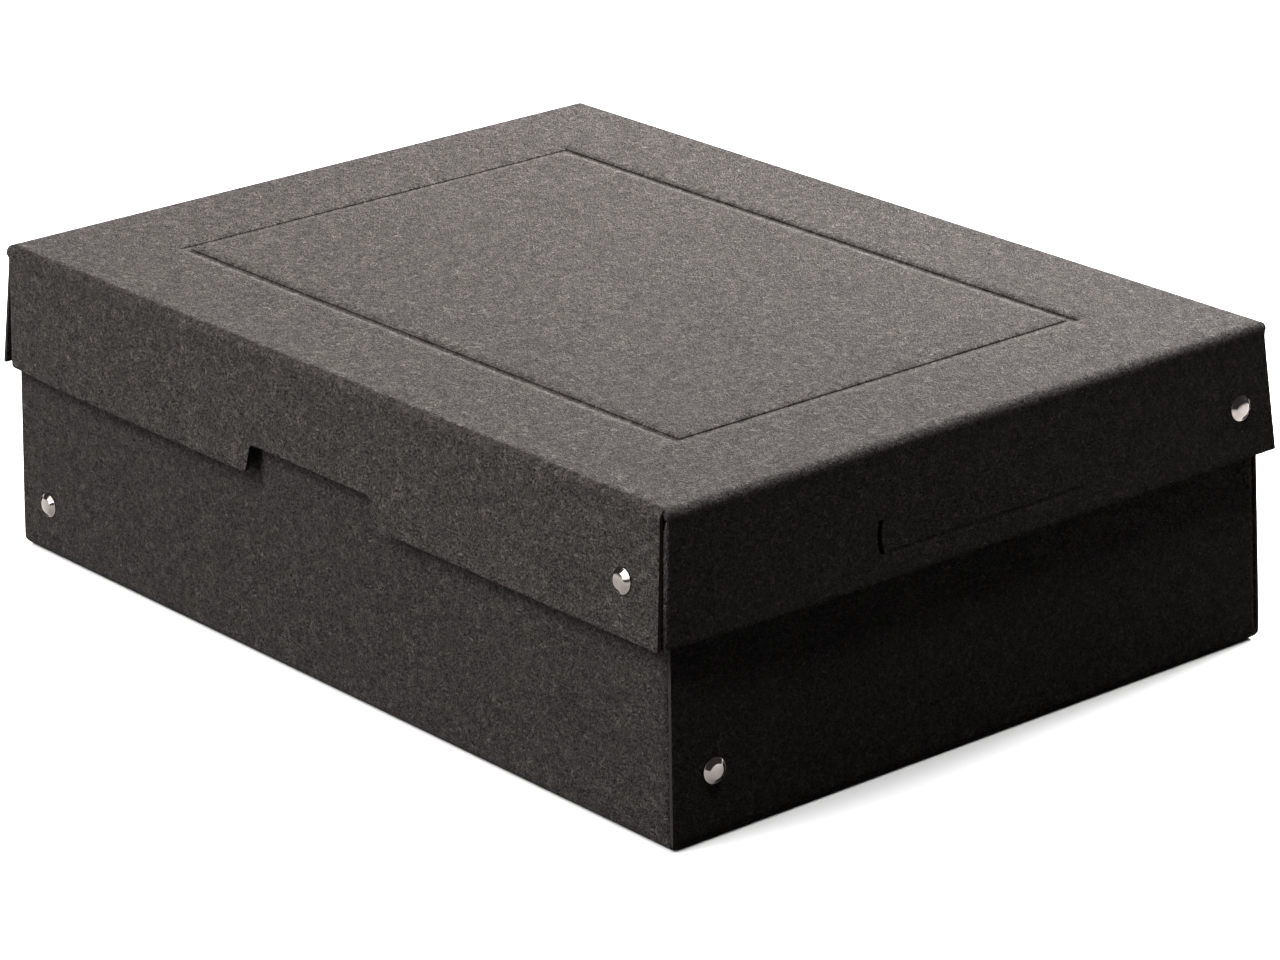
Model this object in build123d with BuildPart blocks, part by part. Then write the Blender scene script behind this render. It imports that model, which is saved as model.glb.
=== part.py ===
from build123d import *
import os
from math import atan2, degrees

# Archival box: a tray and a lift-off lid, each folded from one die-cut solid-board blank
# and held at its four corners by two-piece cap rivets.
# Frame: origin at the centre of the underside, +X along the long side, +Z up.

os.makedirs("parts", exist_ok=True)

# Board
board = 1.2                  # thickness of the solid board
lap_gap = 0.05               # air between a wall and the tab riveted behind it
lap = board + lap_gap        # a tab's outer face lies this far behind the wall's outer face
crease_radius = 3.0          # outside radius where a wall turns away from its plate
crease_drop = crease_radius + 0.4   # height of the closed rim round each plate
raw_setback = 0.2            # a wall's raw end stops this far short of the corner
tab_length = 34.0
lap_run = 12.0               # a tab lies flat against its wall from this far past the corner

# Tray
tray_length = 325.0
tray_width = 235.0
tray_height = 100.6
tray_lean = 2.6              # the rim stands in from the foot by this much on each side
tray_corner = 2.2            # size of the upright folds
tray_tab_drop = 3.0          # the tabs stop this far short of the rim
tray_rivet_run = (15.0, 15.4)       # from the raw end, on the long and the short walls
tray_rivet_height = (17.5, 21.0)

# Lid
rest_gap = 0.4               # air between the tray's rim and the lid's plate
lid_length = 325.0
lid_width = 237.0
lid_depth = 40.0
lid_top = tray_height + rest_gap + board
lid_edge = lid_top - lid_depth
lid_flare = (3.7, 3.3)       # how far the long and the short skirts stand out at their edge
lid_corner_flare = 1.2       # the same at the folded end of a skirt
lid_knee_run = 60.0          # distance from the folded end over which the flare grows
lid_corner = (2.2, 4.0)      # size of the upright folds at the top and at the edge
lid_tab_drop = 16.2          # the tabs start this far below the plate's outer face
lid_rivet_run = (17.3, 14.9)
lid_rivet_height = 78.3

# Debossed frame on the lid's plate
frame_length = 241.0
frame_width = 155.2
groove_width = 2.9
groove_depth = 0.5
groove_slope = 30.0          # lean of the groove's sides from the vertical, degrees

# Finger notches in the long skirts
notch_foot = 31.4            # half width at the skirt's edge
notch_head = 30.2            # half width at the top
notch_height = 9.2
notch_radius = 2.0
notch_reach = 2 * notch_foot   # half width of the cutter, past the notch's own feet

# Label field on the right skirt: a curved slit and a two-sided debossed rule
field_half = 39.5
field_low = 69.8
field_high = 80.0
slit_width = 1.8
slit_bow = 1.0
rule_width = 1.2
rule_depth = 0.3
rule_half = field_half - 2 * slit_width   # the lower rule stops clear of the slit

# Rivets
cap_radius = 3.95
cap_rim = 0.4
cap_shoulder = 1.45
cap_crown_radius = 2.35
cap_height = 1.7
socket_radius = 1.3
socket_depth = 0.9
shank_radius = 1.25
shank_reach = 0.8            # how far the shank stands into the cap
flange_radius = 3.75
flange_thickness = 0.6
rivet_hole_radius = 1.45
seat_gap = 0.03              # air under the cap
flange_gap = 0.12            # air under the flange


def wall_stations(half_run, half_out, fold_side, shifts, corner):
    """Outer and inner points along a wall and its tab, in plan, with the fold's own pair last.

    The wall faces -Y, and its tab turns back at fold_side.
    """
    out_raw, out_knee, out_fold, out_lap, raw_reach = shifts
    fold_x = fold_side * (half_run - lap + out_fold)
    lap_x = fold_side * (half_run - lap + out_lap)
    along = Vector(0, board)
    across = Vector(-fold_side * board, 0)
    raw = Vector(-fold_side * (half_run - raw_setback + raw_reach), -(half_out + out_raw))
    knee = Vector(fold_side * (half_run - lid_knee_run), -(half_out + out_knee))
    fold = Vector(fold_x, -(half_out + out_fold))
    flush = Vector(lap_x, -(half_out - lap_run))
    end = Vector(lap_x, -(half_out - tab_length))
    fold_in = fold + along + across
    wall_way = (knee - fold).normalized()
    tab_way = (flush - fold).normalized()
    return (
        (raw, raw + along),
        (knee, knee + along),
        (fold + wall_way * corner, fold_in + wall_way * (corner - board)),
        (fold + tab_way * corner, fold_in + tab_way * (corner - board)),
        (flush, flush + across),
        (end, end + across),
        (fold, fold_in),
    )


def draw_stretch(first, last, bend):
    """Outline one stretch of board in plan, curved round the fold where bend is given."""
    if bend:
        Bezier(first[0], bend[0], last[0])
        Bezier(last[1], bend[1], first[1])
    else:
        Line(first[0], last[0])
        Line(last[1], first[1])
    Line(last[0], last[1])
    Line(first[1], first[0])


def folded_wall(half_run, half_out, fold_side, levels, flares, corners, tab_trims):
    """A wall with its tab, lofted stretch by stretch from the crease to the free edge."""
    upright = (0.0,) * len(flares)
    crease = wall_stations(half_run, half_out, fold_side, upright, corners[0])
    edge = wall_stations(half_run, half_out, fold_side, flares, corners[1])
    stretches = len(edge) - 2
    fold_stretch = stretches // 2
    with BuildPart() as wall:
        for stretch in range(stretches):
            for level, points in zip(levels, (crease, edge)):
                bend = points[-1] if stretch == fold_stretch else None
                with BuildSketch(Plane.XY.offset(level)):
                    with BuildLine():
                        draw_stretch(points[stretch], points[stretch + 1], bend)
                    make_face()
            loft(ruled=True)
        # the tab stops short of the plate and of the free edge
        trim_run = tab_length + board
        trim_depth = 8 * lap
        trim_x = fold_side * (half_run - lap)
        trim_y = -(half_out - corners[1] - trim_run / 2)
        for low, high in tab_trims:
            with BuildSketch(Plane.XY.offset(low)):
                with Locations((trim_x, trim_y)):
                    Rectangle(trim_depth, trim_run)
            extrude(amount=high - low, mode=Mode.SUBTRACT)
    return wall.part


def rivet_place(half_run, half_out, fold_side, run, height, level, spread, span):
    """Plane on a wall's outer face: origin on the rivet's axis, normal pointing outwards."""
    share = (level - height) / span
    tilt = degrees(atan2(spread, span))
    face = Plane(origin=(0, -(half_out + spread * share), height), x_dir=(1, 0, 0), z_dir=(0, -1, 0))
    face = face.rotated((-tilt, 0, 0))
    face.origin = (-fold_side * (half_run - run), -(half_out + spread * share), height)
    return face


def turned(place, quarter):
    """The same place on the next walls round the box."""
    return Plane(Location((0, 0, 0), (0, 0, 90 * quarter)) * place.location)


def make_rivet_cap(name, place):
    """Outer half of a rivet: a bevelled cap with a crowned face and a blind socket behind."""
    section = Plane(origin=place.origin, x_dir=place.x_dir, z_dir=-place.y_dir)
    with BuildPart() as cap:
        with BuildSketch(section):
            with BuildLine():
                Line((socket_radius, seat_gap), (cap_radius, seat_gap))
                Line((cap_radius, seat_gap), (cap_radius, cap_rim))
                Line((cap_radius, cap_rim), (cap_crown_radius, cap_shoulder))
                TangentArc((0, cap_height), (cap_crown_radius, cap_shoulder), tangent=(1, 0))
                Line((0, cap_height), (0, socket_depth))
                Line((0, socket_depth), (socket_radius, socket_depth))
                Line((socket_radius, socket_depth), (socket_radius, seat_gap))
            make_face()
        revolve(axis=Axis(place.origin, place.z_dir))
    cap.part.label = name
    export_step(cap.part, f"parts/{name}.step")


def make_rivet_post(name, place):
    """Inner half of a rivet: a flat flange inside the box and a shank through both boards."""
    section = Plane(origin=place.origin, x_dir=place.x_dir, z_dir=-place.y_dir)
    seat = -(lap + board + flange_gap)
    with BuildPart() as post:
        with BuildSketch(section):
            with BuildLine():
                Polyline(
                    (0, shank_reach),
                    (shank_radius, shank_reach),
                    (shank_radius, seat),
                    (flange_radius, seat),
                    (flange_radius, seat - flange_thickness),
                    (0, seat - flange_thickness),
                    close=True,
                )
            make_face()
        revolve(axis=Axis(place.origin, place.z_dir))
    post.part.label = name
    export_step(post.part, f"parts/{name}.step")


sides = ("front", "right", "back", "left")
tray_halves = ((tray_length / 2, tray_width / 2), (tray_width / 2, tray_length / 2))
lid_halves = ((lid_length / 2, lid_width / 2), (lid_width / 2, lid_length / 2))

# Rivet places, one on each wall
tray_span = tray_height - crease_drop
tray_places = {}
for quarter, side in enumerate(sides):
    pair = quarter % 2
    place = rivet_place(
        *tray_halves[pair], 1, tray_rivet_run[pair], tray_rivet_height[pair],
        crease_drop, tray_lean, tray_span,
    )
    tray_places[side] = turned(place, quarter)

lid_crease = lid_top - crease_drop
lid_span = lid_crease - lid_edge
lid_places = {}
for quarter, side in enumerate(sides):
    pair = quarter % 2
    place = rivet_place(
        *lid_halves[pair], -1, lid_rivet_run[pair], lid_rivet_height,
        lid_crease, lid_flare[pair], lid_span,
    )
    lid_places[side] = turned(place, quarter)

# Tray: plate, closed rim, four walls whose tabs lie behind their right-hand neighbours
tray_shifts = (-tray_lean,) * 5
tray_walls = [
    folded_wall(
        *halves, 1, (crease_drop, tray_height), tray_shifts, (tray_corner, tray_corner),
        ((crease_drop - board, crease_drop + board),
         (tray_height - tray_tab_drop, tray_height + board)),
    )
    for halves in tray_halves
]
with BuildPart() as tray_blank:
    with BuildSketch():
        Rectangle(tray_length, tray_width)
    extrude(amount=crease_drop)
    fillet(tray_blank.faces().sort_by(Axis.Z)[0].edges(), crease_radius)
    offset(amount=-board, openings=tray_blank.faces().sort_by(Axis.Z)[-1])
    for quarter in range(len(sides)):
        add(tray_walls[quarter % 2], rotation=(0, 0, 90 * quarter))
    for place in tray_places.values():
        with BuildSketch(place):
            Circle(rivet_hole_radius)
        extrude(amount=-2 * lap - board, mode=Mode.SUBTRACT)
tray_blank.part.label = "tray_blank"
export_step(tray_blank.part, "parts/tray_blank.step")

# Lid: plate, closed rim, four skirts whose tabs lie behind their left-hand neighbours
lid_skirts = [
    folded_wall(
        *lid_halves[pair], -1, (lid_crease, lid_edge),
        (lid_flare[pair], lid_flare[pair], lid_corner_flare, lid_flare[1 - pair], 0.0), lid_corner,
        ((lid_top - lid_tab_drop, lid_crease + board), (lid_edge - board, lid_edge + board)),
    )
    for pair in range(2)
]
with BuildPart() as lid_blank:
    with BuildSketch(Plane.XY.offset(lid_top)):
        Rectangle(lid_length, lid_width)
    extrude(amount=-crease_drop)
    fillet(lid_blank.faces().sort_by(Axis.Z)[-1].edges(), crease_radius)
    offset(amount=-board, openings=lid_blank.faces().sort_by(Axis.Z)[0])
    for quarter in range(len(sides)):
        add(lid_skirts[quarter % 2], rotation=(0, 0, 90 * quarter))
    # debossed frame
    with BuildSketch(Plane.XY.offset(lid_top)):
        Rectangle(frame_length + groove_width, frame_width + groove_width)
        Rectangle(frame_length - groove_width, frame_width - groove_width, mode=Mode.SUBTRACT)
    extrude(amount=-groove_depth, taper=groove_slope, mode=Mode.SUBTRACT)
    # finger notches, cut through both long skirts at once
    with BuildSketch(Plane.XZ):
        with BuildLine():
            brow = FilletPolyline(
                (-notch_reach, lid_edge),
                (-notch_foot, lid_edge),
                (-notch_head, lid_edge + notch_height),
                (notch_head, lid_edge + notch_height),
                (notch_foot, lid_edge),
                (notch_reach, lid_edge),
                radius=notch_radius,
            )
            Polyline(
                brow @ 1,
                (notch_reach, lid_edge - notch_height),
                (-notch_reach, lid_edge - notch_height),
                brow @ 0,
            )
        make_face()
    extrude(amount=lid_width, both=True, mode=Mode.SUBTRACT)
    # label field on the right skirt
    field_level = (field_low + field_high) / 2
    field_place = turned(
        rivet_place(0, lid_length / 2, -1, 0, field_level, lid_crease, lid_flare[1], lid_span), 1
    )
    field_rise = (field_high - field_low) / 2
    with BuildSketch(field_place):
        with BuildLine():
            curve = ThreePointArc(
                (-field_half, field_rise), (-field_half - slit_bow, 0), (-field_half, -field_rise)
            )
        SlotArc(curve, slit_width)
    extrude(amount=-2 * board, both=True, mode=Mode.SUBTRACT)
    with BuildSketch(field_place):
        with Locations((0, -field_rise)):
            Rectangle(2 * rule_half, rule_width)
        with Locations((field_half, 0)):
            Rectangle(rule_width, 2 * field_rise)
    extrude(amount=-rule_depth, mode=Mode.SUBTRACT)
    for place in lid_places.values():
        with BuildSketch(place):
            Circle(rivet_hole_radius)
        extrude(amount=-2 * lap - board, mode=Mode.SUBTRACT)
lid_blank.part.label = "lid_blank"
export_step(lid_blank.part, "parts/lid_blank.step")

for side in sides:
    make_rivet_cap(f"tray_rivet_cap_{side}", tray_places[side])
    make_rivet_post(f"tray_rivet_post_{side}", tray_places[side])
    make_rivet_cap(f"lid_rivet_cap_{side}", lid_places[side])
    make_rivet_post(f"lid_rivet_post_{side}", lid_places[side])
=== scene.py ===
from math import acos, ceil, cos, exp, pi, radians, sin, sqrt

import bmesh
import bpy
from mathutils import Matrix, Vector


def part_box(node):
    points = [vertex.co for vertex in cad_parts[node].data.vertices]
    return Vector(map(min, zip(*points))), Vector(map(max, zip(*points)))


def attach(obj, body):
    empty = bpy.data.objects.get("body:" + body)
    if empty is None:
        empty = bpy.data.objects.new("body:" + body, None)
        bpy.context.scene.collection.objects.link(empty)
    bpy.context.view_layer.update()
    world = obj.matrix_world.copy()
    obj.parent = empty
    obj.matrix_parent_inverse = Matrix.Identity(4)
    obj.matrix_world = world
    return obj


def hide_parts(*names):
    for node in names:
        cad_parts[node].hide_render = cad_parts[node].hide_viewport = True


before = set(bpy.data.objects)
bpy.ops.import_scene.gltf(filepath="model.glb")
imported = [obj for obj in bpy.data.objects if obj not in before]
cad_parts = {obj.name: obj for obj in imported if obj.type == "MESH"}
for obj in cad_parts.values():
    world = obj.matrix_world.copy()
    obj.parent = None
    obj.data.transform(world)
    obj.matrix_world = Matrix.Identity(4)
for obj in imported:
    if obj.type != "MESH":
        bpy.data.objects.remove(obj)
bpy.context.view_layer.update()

MM = 0.001

# Heights from the frame
tray_low, tray_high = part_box("tray_blank")
lid_low, lid_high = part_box("lid_blank")

# Board, as the CAD model has it
BOARD = 1.2 * MM
LAP = 1.25 * MM              # a tab's outer face lies this far behind the wall's outer face
CREASE = 3.0 * MM            # outside radius where a wall turns away from its plate
TAB = 34.0 * MM
KNEE = 60.0 * MM             # run from the folded end over which a skirt's flare grows
TRAY_HALF = (162.5 * MM, 117.5 * MM)      # outside half length and half width at the crease
TRAY_LEAN = -2.6 * MM        # the rim stands in from the foot
TRAY_FOLD = 2.2 * MM         # size of the tray's upright folds
LID_HALF = (162.5 * MM, 118.5 * MM)
LID_FLARES = (3.7 * MM, 3.3 * MM)         # long and short skirts, at their free edge

# Folds, where the visual differs a little from the CAD model
LAP_RUN = 5.0 * MM           # a tab lies flat against its wall from this far past the corner
RIM_ROUND = 0.16 * MM        # wear on the cut edges
WALL_BOW = 1.2 * MM          # the tray's long walls stand straighter at mid length
FOLD_STEP = 1.8 * MM         # the front skirt's upright fold starts this far in from its corner
STEP_RUN = 1.3 * MM          # run of the tab over which that step fades out
STEP_DROP = 1.6 * MM         # depth below the crease over which it grows
FOLD_DROP = 0.9 * MM         # depth below the crease over which an upright fold grows round
FLARE_START = 0.05           # softness of the start of a wall's lean, as a share of its depth
LID_FOLD = 1.0 * MM          # size of the lid's upright folds
# lean of each skirt's folded end at its free edge: along the skirt, outward
LID_FOLD_LEANS = ((-0.6 * MM, 1.8 * MM), (2.9 * MM, 1.2 * MM), (0.8 * MM, 1.4 * MM), (2.2 * MM, 1.2 * MM))
TRAY_RAW_LEAN = -2.6 * MM    # lean of a wall's raw end, along the wall
LID_RAW_LEAN = 2.4 * MM
RELIEF_RUN = 5.0 * MM        # run of the tab over which its two edges draw back
LID_RELIEF = (12.8 * MM, 1.2 * MM)        # at the crease, at the free edge
TRAY_RELIEF = (2.0 * MM, 3.0 * MM)

FRAME_HALF = (120.5 * MM, 77.6 * MM)      # debossed frame on the lid, to its groove's centre
GROOVE_DEPTH = 0.45 * MM
GROOVE_FLOOR = 1.2 * MM      # half width of its flat floor
GROOVE_REACH = 1.45 * MM     # half width at its top
GROOVE_SOFT = 0.1
GROOVE_SHADE_REACH = 0.2 * MM       # half width of the painted shade line on each steep side of the groove
SHOULDER_DEPTH = 0.44 * MM   # the board also sinks on both sides of the groove, ever less away from it
SHOULDER_REACH = 1.15 * MM
SHOULDER_END = 5.0           # reaches past the groove where that sinking is cut off
PLATE_SAG = 0.5 * MM
PLATE_RIPPLE = 0.06          # uneven part of the sag, in millimetres

NOTCH_SIDE = 30.8 * MM       # half width of the finger notch, to the middle of its side
NOTCH_LEAN = 0.6 * MM        # half of the side's run along the wall
NOTCH_HEIGHT = 9.2 * MM
NOTCH_ROUND = 2.0 * MM

FIELD_HALF = 39.5 * MM       # label field: from the slit to the upright rule
FIELD_TOP = 22.2 * MM        # depths below the lid's top
FIELD_FOOT = 32.4 * MM
RULE_DEPTH = 0.2 * MM
RULE_FLOOR = 0.35 * MM
RULE_REACH = 0.95 * MM
RULE_GAP = 2.0 * MM          # the lower rule stops this far short of the slit
SLIT_HALF = 0.9 * MM
SLIT_BOW = 1.0 * MM


def ease(t):
    """0 to 1 with a smooth start and end."""
    t = min(max(t, 0.0), 1.0)
    return t * t * (3.0 - 2.0 * t)


class Blank:
    """Shape of one folded blank. Depth runs from the plate's outer face to the free edge."""

    def __init__(self, name, halves, plate_z, up, depth, flares, fold_leans,
                 raw_past, raw_lean, corner, mirrored):
        self.name = name
        self.halves = halves                # outside half length and half width at the crease
        self.plate_z = plate_z
        self.up = up                        # way of growing depth along Z
        self.depth = depth
        self.flares = flares                # at the free edge, long and short walls
        self.fold_leans = fold_leans        # at the free edge, at each wall's folded end: along it, outward
        self.raw_past = raw_past            # crease columns past the plate at the raw end
        self.raw_lean = raw_lean
        self.setback = CREASE - raw_past[-1]
        self.corner = corner                # size of the upright folds
        self.mirrored = mirrored            # laps run the other way round
        self.is_lid = up < 0

    def share(self, depth):
        """Part of a wall's flare reached at a depth, starting softly at the crease."""
        t = max(depth - CREASE, 0.0) / (self.depth - CREASE)
        soft = FLARE_START
        return (sqrt(t * t + soft * soft) - soft) / (sqrt(1.0 + soft * soft) - soft)

    def wall_flare(self, quarter, run):
        if not self.is_lid:
            bow = WALL_BOW * sin(min(run / (2 * self.halves[quarter % 2]), 1.0) * pi)
            return self.flares[quarter % 2] + (0.0 if quarter % 2 else bow)
        rise = sin(min(run / KNEE, 1.0) * pi / 2)
        at_fold = self.fold_leans[quarter][1]
        return at_fold + (self.flares[quarter % 2] - at_fold) * rise

    def sharp_point(self, quarter, run, depth):
        """Plan position with the upright fold left sharp. run is negative along the tab."""
        pair = quarter % 2
        half_run, half_out = self.halves[pair], self.halves[1 - pair]
        share = self.share(depth)
        along, outward = self.fold_leans[quarter]
        step = 0.0
        if self.is_lid and quarter == 0:
            step = FOLD_STEP * (1.0 - exp(-max(depth - CREASE, 0.0) / STEP_DROP))
        if run < 0.0:
            lean = along + (self.flares[1 - pair] - along) * ease(-run / LAP_RUN)
            inset = LAP + step * (1.0 - ease(-run / STEP_RUN))
            return Vector((-(half_run - inset + lean * share), -(half_out + outward * share) - run))
        fold_x = -(half_run - LAP - step + along * share)
        raw_x = half_run - self.setback + self.raw_lean * share
        x = fold_x + (raw_x - fold_x) * run / (2 * half_run - LAP - self.setback)
        return Vector((x, -(half_out + self.wall_flare(quarter, run) * share)))

    def plan_point(self, quarter, run, depth):
        """Plan position with the upright fold rounded."""
        grown = 1.0 - exp(-(depth - CREASE) / FOLD_DROP)
        reach = max(self.corner * grown, 1e-6)
        if abs(run) >= reach:
            return self.sharp_point(quarter, run, depth)
        t = (reach - run) / (2 * reach)
        start = self.sharp_point(quarter, reach, depth)
        corner = self.sharp_point(quarter, 0.0, depth)
        end = self.sharp_point(quarter, -reach, depth)
        return start * (1 - t) ** 2 + corner * 2 * t * (1 - t) + end * t * t

    def place(self, quarter, plan, depth):
        """From a wall's own plan frame (wall facing -Y) to the box's frame."""
        x = -plan.x if self.mirrored else plan.x
        turn = Matrix.Rotation(quarter * pi / 2, 2)
        spot = turn @ Vector((x, plan.y))
        return Vector((spot.x, spot.y, self.plate_z + self.up * depth))


def soft_step(t, soft):
    """0 to 1 along a straight ramp whose two ends are rounded."""
    return (sqrt(t * t + soft * soft) - sqrt((t - 1.0) ** 2 + soft * soft) + 1.0) / 2


def frame_offset(x, y):
    """Distance of a point of the lid's plate from the debossed frame's centre line."""
    return abs(max(abs(x) - FRAME_HALF[0], abs(y) - FRAME_HALF[1]))


def frame_sink(off):
    """Depth of the debossed frame at a distance from its centre line."""
    past = max(off - GROOVE_REACH, 0.0) / SHOULDER_REACH
    if past > SHOULDER_END:
        return 0.0
    ramp = soft_step((GROOVE_REACH - off) / (GROOVE_REACH - GROOVE_FLOOR), GROOVE_SOFT)
    return GROOVE_DEPTH * ramp + SHOULDER_DEPTH * exp(-past)


def plate_sag(x, y, halves):
    """A plate isn't dead flat: it sinks a little away from its creases."""
    across = max(0.0, (1 - (x / halves[0]) ** 2) * (1 - (y / halves[1]) ** 2))
    ripple = sin(x * 31.0 + 1.0) * sin(y * 43.0 + 2.0)
    return (1.0 - exp(-3.0 * across)) * (PLATE_SAG + PLATE_RIPPLE * ripple * MM)


def notch_rise(x):
    """Height of the finger notch above the skirt's edge: a steep side with two round corners."""
    off = NOTCH_SIDE - abs(x)
    past = min(max(abs(off) - NOTCH_LEAN, 0.0), NOTCH_ROUND)
    if past == 0.0:
        return NOTCH_HEIGHT / 2 + off / NOTCH_LEAN * (NOTCH_HEIGHT / 2 - NOTCH_ROUND)
    corner = NOTCH_ROUND - sqrt(NOTCH_ROUND ** 2 - (NOTCH_ROUND - past) ** 2)
    return NOTCH_HEIGHT - corner if off > 0 else corner


def field_bow(depth):
    """Sideways bow of the label slit at a depth."""
    middle = (FIELD_TOP + FIELD_FOOT) / 2
    half = (FIELD_FOOT - FIELD_TOP) / 2
    return SLIT_BOW * max(0.0, 1 - ((depth - middle) / half) ** 2)


def field_sink(run_x, depth):
    """Depth of the rule along the label field's foot and far side."""
    far = 1.0
    end = FIELD_HALF if run_x > 0 else FIELD_HALF - RULE_GAP
    foot = abs(depth - FIELD_FOOT) if abs(run_x) < end else far
    side = abs(run_x - FIELD_HALF) if FIELD_TOP < depth < FIELD_FOOT else far
    off = min(foot, side)
    return RULE_DEPTH * ease((RULE_REACH - off) / (RULE_REACH - RULE_FLOOR))


def fill_stops(marks, step):
    """Sorted marks with even steps, none longer than step, put between them."""
    marks = sorted(set(round(m, 7) for m in marks))
    out = [marks[0]]
    for low, high in zip(marks, marks[1:]):
        parts = max(1, ceil((high - low) / step - 1e-6))
        out += [low + (high - low) * (i + 1) / parts for i in range(parts)]
    return out


MITRE = (0.6 * MM, 1.2 * MM, CREASE - LAP)     # columns shared by two creases at a corner
END_FINE = (0.7 * MM, 1.5 * MM, 2.4 * MM, 3.5 * MM, 5.0 * MM, 8.0 * MM)
GROOVE_ACROSS = (0.0, 0.6, 1.05, 1.15, 1.2, 1.25, 1.32, 1.4, 1.45, 1.5, 1.6)
GROOVE_BESIDE = (1.8, 2.0, 2.3, 2.6, 3.0, 3.5, 4.2, 5.0, 6.4)
GROOVE_STOPS = [side * m * MM for m in GROOVE_ACROSS + GROOVE_BESIDE for side in (-1, 1)]
TAB_STOPS = fill_stops((0.0, 2.0 * MM), 0.4 * MM) + fill_stops((2.8 * MM, 6.0 * MM), 0.8 * MM)
TAB_STOPS += fill_stops((8.0 * MM, TAB), 4.0 * MM)
COLUMN_STEP = 9.0 * MM
ROW_STEP = 3.0 * MM
FOLD_PARTS = 8               # facets round a crease


def wall_columns(blank, pair):
    """Positions along a wall at its crease, in its own frame, without the corner's extras."""
    inner = blank.halves[pair] - CREASE
    marks = [-inner, inner]
    marks += [side * (inner - f) for f in END_FINE for side in (-1, 1)]
    if blank.is_lid:
        marks += [side * FRAME_HALF[pair] + o for o in GROOVE_STOPS for side in (-1, 1)]
        if pair == 0:
            fine = [m * NOTCH_ROUND for m in (0.0, 0.03, 0.1, 0.22, 0.38, 0.6, 0.8, 1.0, 1.5)]
            notch = [NOTCH_SIDE + way * (NOTCH_LEAN + f) for f in fine for way in (-1, 1)]
            marks += [side * n for n in notch for side in (-1, 1)]
        else:
            near = (0.45, 0.9, 1.35, 2.0, 3.0)
            field = [FIELD_HALF] + [FIELD_HALF + side * n * MM for n in near for side in (-1, 1)]
            marks += [side * f for f in field for side in (-1, 1)]
    return fill_stops(marks, COLUMN_STEP)


def wall_rows(blank):
    """Shares of the way from the crease to the free edge."""
    marks = [CREASE + m * MM for m in (0, 0.5, 1.2, 2.2, 3.5, 5.5)]
    marks += [blank.depth - m * MM for m in (0, 1.0, 2.5)]
    if blank.is_lid:
        near = (-1.2, -0.9, -0.6, -0.3, 0, 0.3, 0.6, 0.9, 1.2)
        marks += [FIELD_TOP + m * MM for m in (-0.8, -0.3, 0.0, 0.5, 1.2)]
        marks += [FIELD_FOOT + m * MM for m in near]
    span = blank.depth - CREASE
    return [(m - CREASE) / span for m in fill_stops(marks, ROW_STEP)]


class Sheet:
    """The blank's outer face as an open mesh, with its place on the flat board kept."""

    def __init__(self):
        self.bm = bmesh.new()
        self.flat = self.bm.verts.layers.float_vector.new("flat")
        self.press = self.bm.verts.layers.float.new("press")
        # share of painted shade: a near-black line on the groove's steep sides
        self.groove_painted_shade = self.bm.verts.layers.float.new("groove_painted_shade")

    def vertex(self, spot, flat, press=0.0, groove_painted_shade=0.0):
        v = self.bm.verts.new(spot)
        v[self.flat] = (flat[0], flat[1], 0.0)
        v[self.press] = press
        v[self.groove_painted_shade] = groove_painted_shade
        return v

    def grid(self, rows, skip=None):
        for i in range(len(rows) - 1):
            for j in range(len(rows[i]) - 1):
                if skip and skip(i, j):
                    continue
                corners = (rows[i][j], rows[i][j + 1], rows[i + 1][j + 1], rows[i + 1][j])
                self.bm.faces.new(corners)


def add_plate(sheet, blank):
    xs = wall_columns(blank, 0)
    ys = wall_columns(blank, 1)
    rows = []
    for y in ys:
        row = []
        for x in xs:
            sink = plate_sag(x, y, (xs[-1], ys[-1]))
            off = frame_offset(x, y) if blank.is_lid else 1.0
            groove = frame_sink(off)
            spot = (x, y, blank.plate_z + blank.up * (sink + groove))
            # painted shade: 1 along the middle of each steep side of the groove, falling to 0 within its
            # reach
            groove_painted_shade = 1.0 - min(abs(off - (GROOVE_FLOOR + GROOVE_REACH) / 2) / GROOVE_SHADE_REACH, 1.0)
            row.append(sheet.vertex(spot, (x, y), min(groove / GROOVE_DEPTH, 1.0), groove_painted_shade))
        rows.append(row)
    sheet.grid(rows)


def flat_spot(blank, quarter, x, out):
    """Place on the unfolded board of a point at x along a wall and out from the middle."""
    spot = blank.place(quarter, Vector((x, -out)), 0.0)
    return spot.x, spot.y


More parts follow.
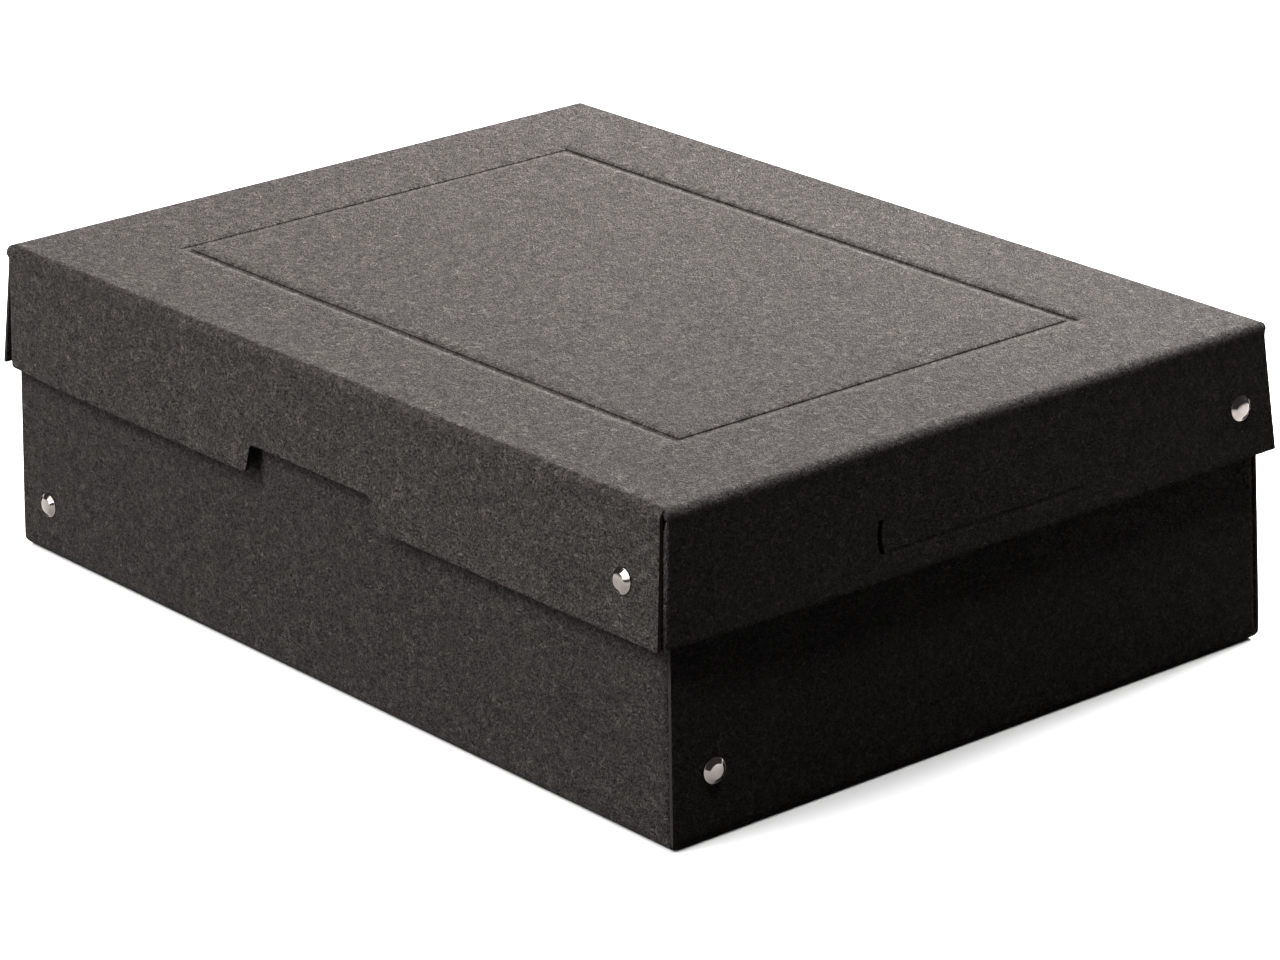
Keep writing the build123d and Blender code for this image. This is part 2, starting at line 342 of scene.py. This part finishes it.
def add_wall(sheet, blank, quarter):
    pair = quarter % 2
    half_run, half_out = blank.halves[pair], blank.halves[1 - pair]
    inner = half_run - CREASE
    columns = [-(inner + m) for m in reversed(MITRE)] + wall_columns(blank, pair)
    columns += [inner + m for m in blank.raw_past]
    # crease: a quarter turn, cut short where it meets the neighbour's at the corner
    rows = []
    for i in range(FOLD_PARTS + 1):
        row = []
        for x in columns:
            past = max(abs(x) - inner, 0.0)
            start = acos(min(past / CREASE, 1.0))
            turn = start * (1 - i / FOLD_PARTS)
            plan = Vector((x, -(half_out - CREASE + CREASE * cos(turn))))
            spot = blank.place(quarter, plan, CREASE * (1 - sin(turn)))
            flat = flat_spot(blank, quarter, x, half_out - CREASE + CREASE * (pi / 2 - turn))
            row.append(sheet.vertex(spot, flat))
        rows.append(row)
    sheet.grid(rows)
    # wall, upright fold and tab
    fold_x = -(half_run - LAP)
    runs = [x - fold_x for x in columns]
    path = [-c for c in reversed(TAB_STOPS[1:])] + runs
    shares = wall_rows(blank)
    relief = LID_RELIEF if blank.is_lid else TRAY_RELIEF
    has_notch = blank.is_lid and pair == 0
    has_field = blank.is_lid and quarter == 1
    rows = []
    for share in shares:
        row = []
        for run in path:
            x = fold_x + run
            top, foot = CREASE, blank.depth
            if run < 0:
                drawn = ease(-run / RELIEF_RUN)
                top += relief[0] * drawn
                foot -= relief[1] * drawn
            elif has_notch:
                foot -= notch_rise(x)
            depth = top + share * (foot - top)
            slip = 0.0
            sink = 0.0
            if has_field and run > 0:
                near = 1 - min(abs(x + FIELD_HALF) / (4.0 * MM), 1.0)
                slip = -field_bow(depth) * ease(near * 2)
                sink = field_sink(x, depth)
            plan = blank.plan_point(quarter, run, depth)
            plan.x += slip
            plan.y += sink
            out = half_out - CREASE + CREASE * pi / 2 + depth - CREASE
            row.append(sheet.vertex(blank.place(quarter, plan, depth), flat_spot(blank, quarter, x, out)))
        rows.append(row)

    def in_slit(i, j):
        x = fold_x + (path[j] + path[j + 1]) / 2
        depth = CREASE + (shares[i] + shares[i + 1]) / 2 * (blank.depth - CREASE)
        return abs(x + FIELD_HALF) < SLIT_HALF and FIELD_TOP < depth < FIELD_FOOT

    sheet.grid(rows, in_slit if has_field else None)


def applied(obj):
    """Gives an object its modified mesh and clears its modifiers."""
    graph = bpy.context.evaluated_depsgraph_get()
    mesh = bpy.data.meshes.new_from_object(obj.evaluated_get(graph))
    obj.modifiers.clear()
    obj.data = mesh


def build_blank(blank, face_material, edge_material):
    sheet = Sheet()
    add_plate(sheet, blank)
    for quarter in range(4):
        add_wall(sheet, blank, quarter)
    bm = sheet.bm
    bmesh.ops.remove_doubles(bm, verts=bm.verts, dist=0.004 * MM)
    bmesh.ops.recalc_face_normals(bm, faces=bm.faces)
    plate = max(bm.faces, key=lambda f: f.calc_center_median().z * -blank.up)
    if plate.normal.z * blank.up > 0:
        bmesh.ops.reverse_faces(bm, faces=bm.faces)
    for face in bm.faces:
        face.smooth = True
    mesh = bpy.data.meshes.new(blank.name)
    bm.to_mesh(mesh)
    bm.free()
    mesh.materials.append(face_material)
    mesh.materials.append(edge_material)
    obj = bpy.data.objects.new(blank.name, mesh)
    bpy.context.scene.collection.objects.link(obj)
    solid = obj.modifiers.new("thickness", "SOLIDIFY")
    solid.thickness = BOARD
    solid.offset = -1.0
    solid.use_even_offset = True
    solid.use_rim = True
    solid.material_offset_rim = 1
    wear = obj.modifiers.new("wear", "BEVEL")
    wear.width = RIM_ROUND
    wear.segments = 2
    wear.limit_method = "ANGLE"
    wear.angle_limit = radians(55)
    wear.harden_normals = False
    applied(obj)
    obj.data.set_sharp_from_angle(angle=radians(40))
    return obj


def node(tree, kind, **sockets):
    """Adds a shader node; sockets are constants, or other nodes' outputs to link."""
    made = tree.nodes.new(kind)
    for key, value in sockets.items():
        target = made.inputs[key.replace("_", " ")]
        if isinstance(value, bpy.types.NodeSocket):
            tree.links.new(value, target)
        else:
            target.default_value = value
    return made


def surface(tree, colour, rough, bump):
    """The principled shader of a painted surface, with its relief."""
    inputs = {"Base_Color": colour, "Roughness": rough, "Normal": bump.outputs[0]}
    return node(tree, "ShaderNodeBsdfPrincipled", **inputs)


def new_material(name):
    material = bpy.data.materials.new(name)
    material.use_nodes = True
    tree = material.node_tree
    tree.nodes.clear()
    return material, tree


def output(tree, shader):
    node(tree, "ShaderNodeOutputMaterial", Surface=shader.outputs[0])


def math(tree, operation, first, second=None, third=None):
    made = tree.nodes.new("ShaderNodeMath")
    made.operation = operation
    for socket, value in zip(made.inputs, (first, second, third)):
        if isinstance(value, bpy.types.NodeSocket):
            tree.links.new(value, socket)
        elif value is not None:
            socket.default_value = value
    return made.outputs[0]


def spread(tree, value, low, high, to_low=0.0, to_high=1.0):
    ends = {"From_Min": low, "From_Max": high, "To_Min": to_low, "To_Max": to_high}
    made = node(tree, "ShaderNodeMapRange", Value=value, **ends)
    made.clamp = True
    return made.outputs[0]


def grain(tree, where, size, detail=2.0, warp=0.0, shift=0.0):
    """Noise with features of about a size in metres."""
    moved = node(tree, "ShaderNodeVectorMath", Vector=where)
    moved.operation = "ADD"
    moved.inputs[1].default_value = (shift, shift * 0.7, shift * 0.3)
    style = {"Scale": 1.0 / size, "Detail": detail, "Distortion": warp}
    made = node(tree, "ShaderNodeTexNoise", Vector=moved.outputs[0], **style)
    return made.outputs["Fac"]


def fibres(tree, where, size, width, shift):
    """Short curling fibres: the thin bands where a noise crosses its middle, broken by another."""
    ridge = math(tree, "ABSOLUTE", math(tree, "SUBTRACT", grain(tree, where, size, 1.0, 1.5, shift), 0.5))
    band = spread(tree, ridge, 0.0, width, 1.0, 0.0)
    gaps = spread(tree, grain(tree, where, size * 1.3, 1.0, 0.0, shift + 3.0), 0.42, 0.58)
    return math(tree, "MULTIPLY", band, gaps)


def mixed(tree, share, first, second):
    made = tree.nodes.new("ShaderNodeMix")
    made.data_type = "RGBA"
    colours = [s for s in made.inputs if s.type == "RGBA"]
    factor = [s for s in made.inputs if s.type == "VALUE"][0]
    for socket, value in ((factor, share), (colours[0], first), (colours[1], second)):
        if isinstance(value, bpy.types.NodeSocket):
            tree.links.new(value, socket)
        else:
            socket.default_value = value
    return [s for s in made.outputs if s.type == "RGBA"][0]


def attribute(tree, name, socket):
    """Reads a value that the mesh carries."""
    made = node(tree, "ShaderNodeAttribute")
    made.attribute_name = name
    return made.outputs[socket]


def with_painted_shade(colour, painted_shade_factor):
    return (*(c * painted_shade_factor for c in colour), 1.0)


def board_material(name, painted_shade_factor):
    """Dyed felt board: matted fibres a fraction of a millimetre wide, in relief and in tone."""
    material, tree = new_material(name)
    where = attribute(tree, "flat", "Vector")
    press = attribute(tree, "press", "Fac")
    groove_painted_shade = attribute(tree, "groove_painted_shade", "Fac")
    strands = fibres(tree, where, 2.6 * MM, 0.045, 0.0)
    lint = fibres(tree, where, 1.7 * MM, 0.05, 7.0)
    fluff = fibres(tree, where, 1.2 * MM, 0.06, 11.0)
    felt = grain(tree, where, 0.7 * MM, 1.0, 0.8)
    mat = grain(tree, where, 1.3 * MM, 2.0, 1.6, 5.0)
    cloud = grain(tree, where, 26.0 * MM, 3.0, 0.3, 2.0)
    lines = math(tree, "MAXIMUM", math(tree, "MAXIMUM", strands, lint), math(tree, "MULTIPLY", fluff, 0.7))
    pile = math(tree, "MULTIPLY_ADD", mat, 0.3, math(tree, "MULTIPLY", felt, 0.7))
    relief = math(tree, "MULTIPLY_ADD", lines, 0.5, math(tree, "MULTIPLY", pile, 2.6))
    relief = math(tree, "MULTIPLY", relief, spread(tree, press, 0.1, 0.8, 1.0, 0.35))
    tone = spread(tree, pile, 0.43, 0.57)
    tone = math(tree, "MULTIPLY_ADD", tone, 0.85, math(tree, "MULTIPLY", cloud, 0.15))
    # all colours are scaled by the painted shade factor: 1 for the lid, less for the tray as painted shade
    ground = mixed(tree, tone, with_painted_shade((0.012, 0.0104, 0.0097), painted_shade_factor), with_painted_shade((0.09, 0.0785, 0.073), painted_shade_factor))
    colour = mixed(tree, math(tree, "MULTIPLY", lines, 0.8), ground, with_painted_shade((0.26, 0.228, 0.21), painted_shade_factor))
    # painted shade: the groove's steep sides are mixed towards near black, standing in for the shade in the
    # groove
    colour = mixed(tree, math(tree, "MULTIPLY", groove_painted_shade, 0.85), colour, (0.004, 0.0035, 0.0033, 1))
    rough = spread(tree, felt, 0.3, 0.7, 0.76, 0.92)
    bump = node(tree, "ShaderNodeBump", Height=relief, Strength=1.0, Distance=0.66 * MM)
    shader = surface(tree, colour, rough, bump)
    shader.inputs["Specular IOR Level"].default_value = 0.03
    output(tree, shader)
    return material


def edge_board_material(name):
    """The cut edge: the same dyed stock, open and pulpy, in thin plies."""
    material, tree = new_material(name)
    place = node(tree, "ShaderNodeTexCoord").outputs["Object"]
    pulp = grain(tree, place, 0.35 * MM, 3.0, 0.5)
    clumps = grain(tree, place, 1.8 * MM, 2.0, 0.5, 4.0)
    tone = math(tree, "MULTIPLY_ADD", pulp, 0.6, math(tree, "MULTIPLY", clumps, 0.4))
    colour = mixed(tree, spread(tree, tone, 0.3, 0.7), (0.016, 0.0142, 0.0132, 1), (0.055, 0.0485, 0.045, 1))
    bump = node(tree, "ShaderNodeBump", Height=tone, Strength=1.0, Distance=0.15 * MM)
    rough = spread(tree, pulp, 0.3, 0.7, 0.82, 0.95)
    shader = surface(tree, colour, rough, bump)
    shader.inputs["Specular IOR Level"].default_value = 0.05
    output(tree, shader)
    return material


def metal_material(name, colour, worn, rough, brushed):
    """Plated steel: small scuffs and a slow change of sheen, or fine turning marks."""
    material, tree = new_material(name)
    place = node(tree, "ShaderNodeTexCoord").outputs["Object"]
    film = grain(tree, place, 2.5 * MM, 3.0, 0.4)
    specks = spread(tree, grain(tree, place, 0.3 * MM, 2.0, 0.2, 3.0), 0.56, 0.7)
    marks = grain(tree, place, 0.18 * MM, 3.0, 1.5, 6.0)
    tint = mixed(tree, spread(tree, film, 0.35, 0.65), (*colour, 1), (*worn, 1))
    base = spread(tree, film, 0.35, 0.65, rough * 0.8, rough * 1.3)
    gloss = math(tree, "MULTIPLY_ADD", specks, 0.12, base)
    bump = node(tree, "ShaderNodeBump", Height=marks, Strength=1.0, Distance=brushed)
    shader = surface(tree, tint, gloss, bump)
    shader.inputs["Metallic"].default_value = 1.0
    output(tree, shader)
    return material


def rounded(profile, corners, steps=4):
    """A profile of (radius, height) with some corners rounded; corners maps an index to a size."""
    out = []
    for i, point in enumerate(profile):
        here = Vector(point)
        if i not in corners:
            out.append(here)
            continue
        before, after = Vector(profile[i - 1]), Vector(profile[i + 1])
        start = here + (before - here).normalized() * corners[i]
        end = here + (after - here).normalized() * corners[i]
        out.append(here + (start - here) * 1.3)
        for k in range(steps + 1):
            t = k / steps
            out.append(start * (1 - t) ** 2 + here * 2 * t * (1 - t) + end * t * t)
        out.append(here + (end - here) * 1.3)
    return out


def lathe(name, profile, spot, axis, material, turns=64):
    """Turns a profile about an axis; it starts and ends on the axis."""
    bm = bmesh.new()
    side = Vector((0, 0, 1)).cross(axis).normalized()
    other = axis.cross(side)
    rings = []
    for radius, height in profile:
        centre = spot + axis * height
        if radius < 1e-7:
            rings.append([bm.verts.new(centre)])
            continue
        angles = [2 * pi * k / turns for k in range(turns)]
        rings.append([bm.verts.new(centre + (side * cos(a) + other * sin(a)) * radius) for a in angles])
    for low, high in zip(rings, rings[1:]):
        for k in range(turns):
            n = (k + 1) % turns
            if len(low) == 1:
                bm.faces.new((low[0], high[k], high[n]))
            elif len(high) == 1:
                bm.faces.new((low[k], high[0], low[n]))
            else:
                bm.faces.new((low[k], high[k], high[n], low[n]))
    bmesh.ops.recalc_face_normals(bm, faces=bm.faces)
    for face in bm.faces:
        face.smooth = True
    mesh = bpy.data.meshes.new(name)
    bm.to_mesh(mesh)
    bm.free()
    mesh.materials.append(material)
    obj = bpy.data.objects.new(name, mesh)
    bpy.context.scene.collection.objects.link(obj)
    mesh.set_sharp_from_angle(angle=radians(50))
    return obj


CAP_SEAT = 0.03 * MM         # air under the cap
CAP_RADIUS = 3.95 * MM
CAP_RIM = 0.4 * MM
SOCKET_RADIUS = 1.3 * MM
SOCKET_DEPTH = 0.9 * MM
CAP_PROFILE = rounded(
    [(0, 1.7 * MM), (1.4 * MM, 1.66 * MM), (2.35 * MM, 1.5 * MM), (3.78 * MM, 0.46 * MM),
     (CAP_RADIUS, CAP_RIM), (CAP_RADIUS, 0), (SOCKET_RADIUS, 0), (SOCKET_RADIUS, SOCKET_DEPTH),
     (0, SOCKET_DEPTH)],
    {1: 0.5 * MM, 2: 0.2 * MM, 3: 0.1 * MM, 4: 0.05 * MM, 5: 0.12 * MM},
)
STACK = 2 * BOARD + (LAP - BOARD)            # wall, gap and tab
FLANGE_SEAT = 0.12 * MM      # air under the flange
FLANGE_TOP = -STACK - FLANGE_SEAT
FLANGE_RADIUS = 3.75 * MM
FLANGE_THICK = 0.6 * MM
SHANK_RADIUS = 1.25 * MM
SHANK_REACH = 0.8 * MM       # how far the shank stands into the cap
POST_PROFILE = rounded(
    [(0, SHANK_REACH), (SHANK_RADIUS, SHANK_REACH), (SHANK_RADIUS, FLANGE_TOP), (FLANGE_RADIUS, FLANGE_TOP),
     (FLANGE_RADIUS, FLANGE_TOP - FLANGE_THICK), (1.4 * MM, FLANGE_TOP - FLANGE_THICK),
     (1.0 * MM, FLANGE_TOP - 0.35 * MM), (0, FLANGE_TOP - 0.3 * MM)],
    {1: 0.15 * MM, 3: 0.12 * MM, 4: 0.25 * MM, 5: 0.2 * MM, 6: 0.15 * MM},
)


def rivet_axis(blank, quarter, cad_cap):
    """The rivet's foot on the wall's outer face, and the wall's outward normal there."""
    low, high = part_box(cad_cap)
    centre = (low + high) / 2
    plan = Matrix.Rotation(-quarter * pi / 2, 2) @ Vector((centre.x, centre.y))
    x = -plan.x if blank.mirrored else plan.x
    depth = (centre.z - blank.plate_z) * blank.up
    pair = quarter % 2
    run = x + blank.halves[pair] - LAP
    step = 2.0 * MM

    def on_wall(r, d):
        return blank.place(quarter, blank.plan_point(quarter, r, d), d)

    spot = on_wall(run, depth)
    along = on_wall(run + step, depth) - on_wall(run - step, depth)
    down = on_wall(run, depth + step) - on_wall(run, depth - step)
    axis = along.cross(down).normalized()
    facing = Matrix.Rotation(quarter * pi / 2, 2) @ Vector((0, -1))
    if axis.x * facing.x + axis.y * facing.y < 0:
        axis = -axis
    return spot, axis


tray_blank = Blank(
    name="tray_board", halves=TRAY_HALF, plate_z=tray_low.z, up=1.0, depth=tray_high.z - tray_low.z,
    flares=(TRAY_LEAN, TRAY_LEAN), fold_leans=((TRAY_LEAN, TRAY_LEAN),) * 4,
    raw_past=MITRE + (2.3 * MM, 2.8 * MM), raw_lean=TRAY_RAW_LEAN, corner=TRAY_FOLD, mirrored=True,
)
lid_blank = Blank(
    name="lid_board", halves=LID_HALF, plate_z=lid_high.z, up=-1.0, depth=lid_high.z - lid_low.z,
    flares=LID_FLARES, fold_leans=LID_FOLD_LEANS,
    raw_past=MITRE[:2], raw_lean=LID_RAW_LEAN, corner=LID_FOLD, mirrored=False,
)

lid_material = board_material("lid_board", 1.0)
# the tray's board is the lid's board darkened to 0.82, painted shade for the tray standing under the lid
tray_material = board_material("tray_board", 0.82)
edge_material = edge_board_material("board_edge")
cap_material = metal_material("nickel", (0.2, 0.178, 0.166), (0.165, 0.145, 0.135), 0.09, 0.004 * MM)
post_material = metal_material("steel", (0.55, 0.54, 0.52), (0.46, 0.45, 0.43), 0.34, 0.02 * MM)
SIDES = ("front", "right", "back", "left")
for blank, body, face_material in ((tray_blank, "tray", tray_material), (lid_blank, "lid", lid_material)):
    piece = build_blank(blank, face_material, edge_material)
    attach(piece, body)
    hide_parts(body + "_blank")
    for quarter, side in enumerate(SIDES):
        cap_node = f"{body}_rivet_cap_{side}"
        post_node = f"{body}_rivet_post_{side}"
        spot, axis = rivet_axis(blank, quarter, cap_node)
        cap = lathe(f"{body}_cap_{side}", CAP_PROFILE, spot + axis * CAP_SEAT, axis, cap_material)
        post = lathe(f"{body}_post_{side}", POST_PROFILE, spot, axis, post_material, 48)
        for made, cad_node, slot in ((cap, cap_node, "rivet_cap"), (post, post_node, "rivet_post")):
            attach(made, body)
            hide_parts(cad_node)

# Floor
floor_mesh = bpy.data.meshes.new("floor")
FLOOR_HALF = 6
floor_corners = [(x * FLOOR_HALF, y * FLOOR_HALF, 0) for x, y in ((-1, -1), (1, -1), (1, 1), (-1, 1))]
floor_mesh.from_pydata(floor_corners, [], [(0, 1, 2, 3)])
floor = bpy.data.objects.new("floor", floor_mesh)
bpy.context.scene.collection.objects.link(floor)
floor_material, tree = new_material("floor")
shader = node(tree, "ShaderNodeBsdfPrincipled", Roughness=0.9)
shader.inputs["Base Color"].default_value = (0.85, 0.85, 0.85, 1)
shader.inputs["Specular IOR Level"].default_value = 0.1
output(tree, shader)
floor.data.materials.append(floor_material)
floor.visible_diffuse = False


def area_light(name, spot, aim, size, power):
    """A softbox facing a point; the camera doesn't see it."""
    light = bpy.data.lights.new(name, "AREA")
    light.shape = "RECTANGLE"
    light.size, light.size_y = size
    light.energy = power
    obj = bpy.data.objects.new(name, light)
    bpy.context.scene.collection.objects.link(obj)
    facing = (Vector(aim) - Vector(spot)).normalized()
    across = facing.cross(Vector((0, 0, 1)))
    across = across.normalized() if across.length > 1e-3 else Vector((1, 0, 0))
    turn = Matrix((across, across.cross(facing), -facing)).transposed().to_4x4()
    obj.matrix_world = Matrix.Translation(spot) @ turn
    obj.visible_camera = False
    return obj


# Lights: place, aim, size in metres, power in watts
area_light("key_back", (-0.72, 0.72, 0.44), (0, 0, 0.1), (0.8, 0.22), 13.5)
area_light("key_far", (-0.1, 0.86, 0.4), (-0.1, 0, 0.1), (0.5, 0.2), 38)
area_light("front_high", (-0.3, -1.65, 1.8), (0.05, -0.1, 0.05), (1.1, 0.9), 57)
area_light("front_low", (-0.25, -1.95, 0.45), (0.05, 0, 0.08), (0.6, 0.5), 13)
above = area_light("above", (0.42, 0.0, 1.3), (0.42, 0, 0), (0.2, 0.6), 4)
above.visible_glossy = False
# a white card that only reflections show, chiefly on the rivets' bevels
card = area_light("card", (-0.1, -1.8, 0.95), (0, -0.1, 0.08), (2.4, 0.9), 42)
card.visible_diffuse = False
# the floor's own light, so that it stays pale around the box's soft shadow
wash = area_light("floor_wash", (0, 0, 1.8), (0, 0, 0), (2.4, 2.4), 55)
lit = bpy.data.collections.new("floor_only")
lit.objects.link(floor)
wash.light_linking.receiver_collection = lit
wash.visible_glossy = False

world = bpy.data.worlds.new("studio")
bpy.context.scene.world = world
world.use_nodes = True
tree = world.node_tree
tree.nodes.clear()
ray = tree.nodes.new("ShaderNodeLightPath")
REFLECTED_SKY, AMBIENT_SKY, SEEN_SKY = 0.12, 0.006, 1.0
strength = math(tree, "MULTIPLY_ADD", ray.outputs["Is Glossy Ray"], REFLECTED_SKY, AMBIENT_SKY)
strength = math(tree, "MULTIPLY_ADD", ray.outputs["Is Camera Ray"], SEEN_SKY, strength)
sky = node(tree, "ShaderNodeBackground", Color=(1, 1, 1, 1), Strength=strength)
node(tree, "ShaderNodeOutputWorld", Surface=sky.outputs[0])

# Camera
AIM = Vector((0.0, 0.0, 0.05))
azimuth, elevation, roll = radians(50.465), radians(20.521), radians(-1.129)
DISTANCE = 1.5731
SLIDE = (0.00577, -0.01252)  # level and upward shift of the camera and its aim
SENSOR = 36.0                # millimetres, like the lens
LENS = 141.8625
back = Vector((sin(azimuth) * cos(elevation), -cos(azimuth) * cos(elevation), sin(elevation)))
level = Vector((cos(azimuth), sin(azimuth), 0.0))
rise = back.cross(level)
right = level * cos(roll) + rise * sin(roll)
up = rise * cos(roll) - level * sin(roll)
camera_data = bpy.data.cameras.new("camera")
camera_data.sensor_width = SENSOR
camera_data.lens = LENS
camera_data.clip_end = 50.0
camera = bpy.data.objects.new("camera", camera_data)
spot = AIM + level * SLIDE[0] + rise * SLIDE[1] + back * DISTANCE
camera.matrix_world = Matrix.Translation(spot) @ Matrix((right, up, back)).transposed().to_4x4()
bpy.context.scene.collection.objects.link(camera)
bpy.context.scene.camera = camera
bpy.context.scene.view_settings.view_transform = "Standard"
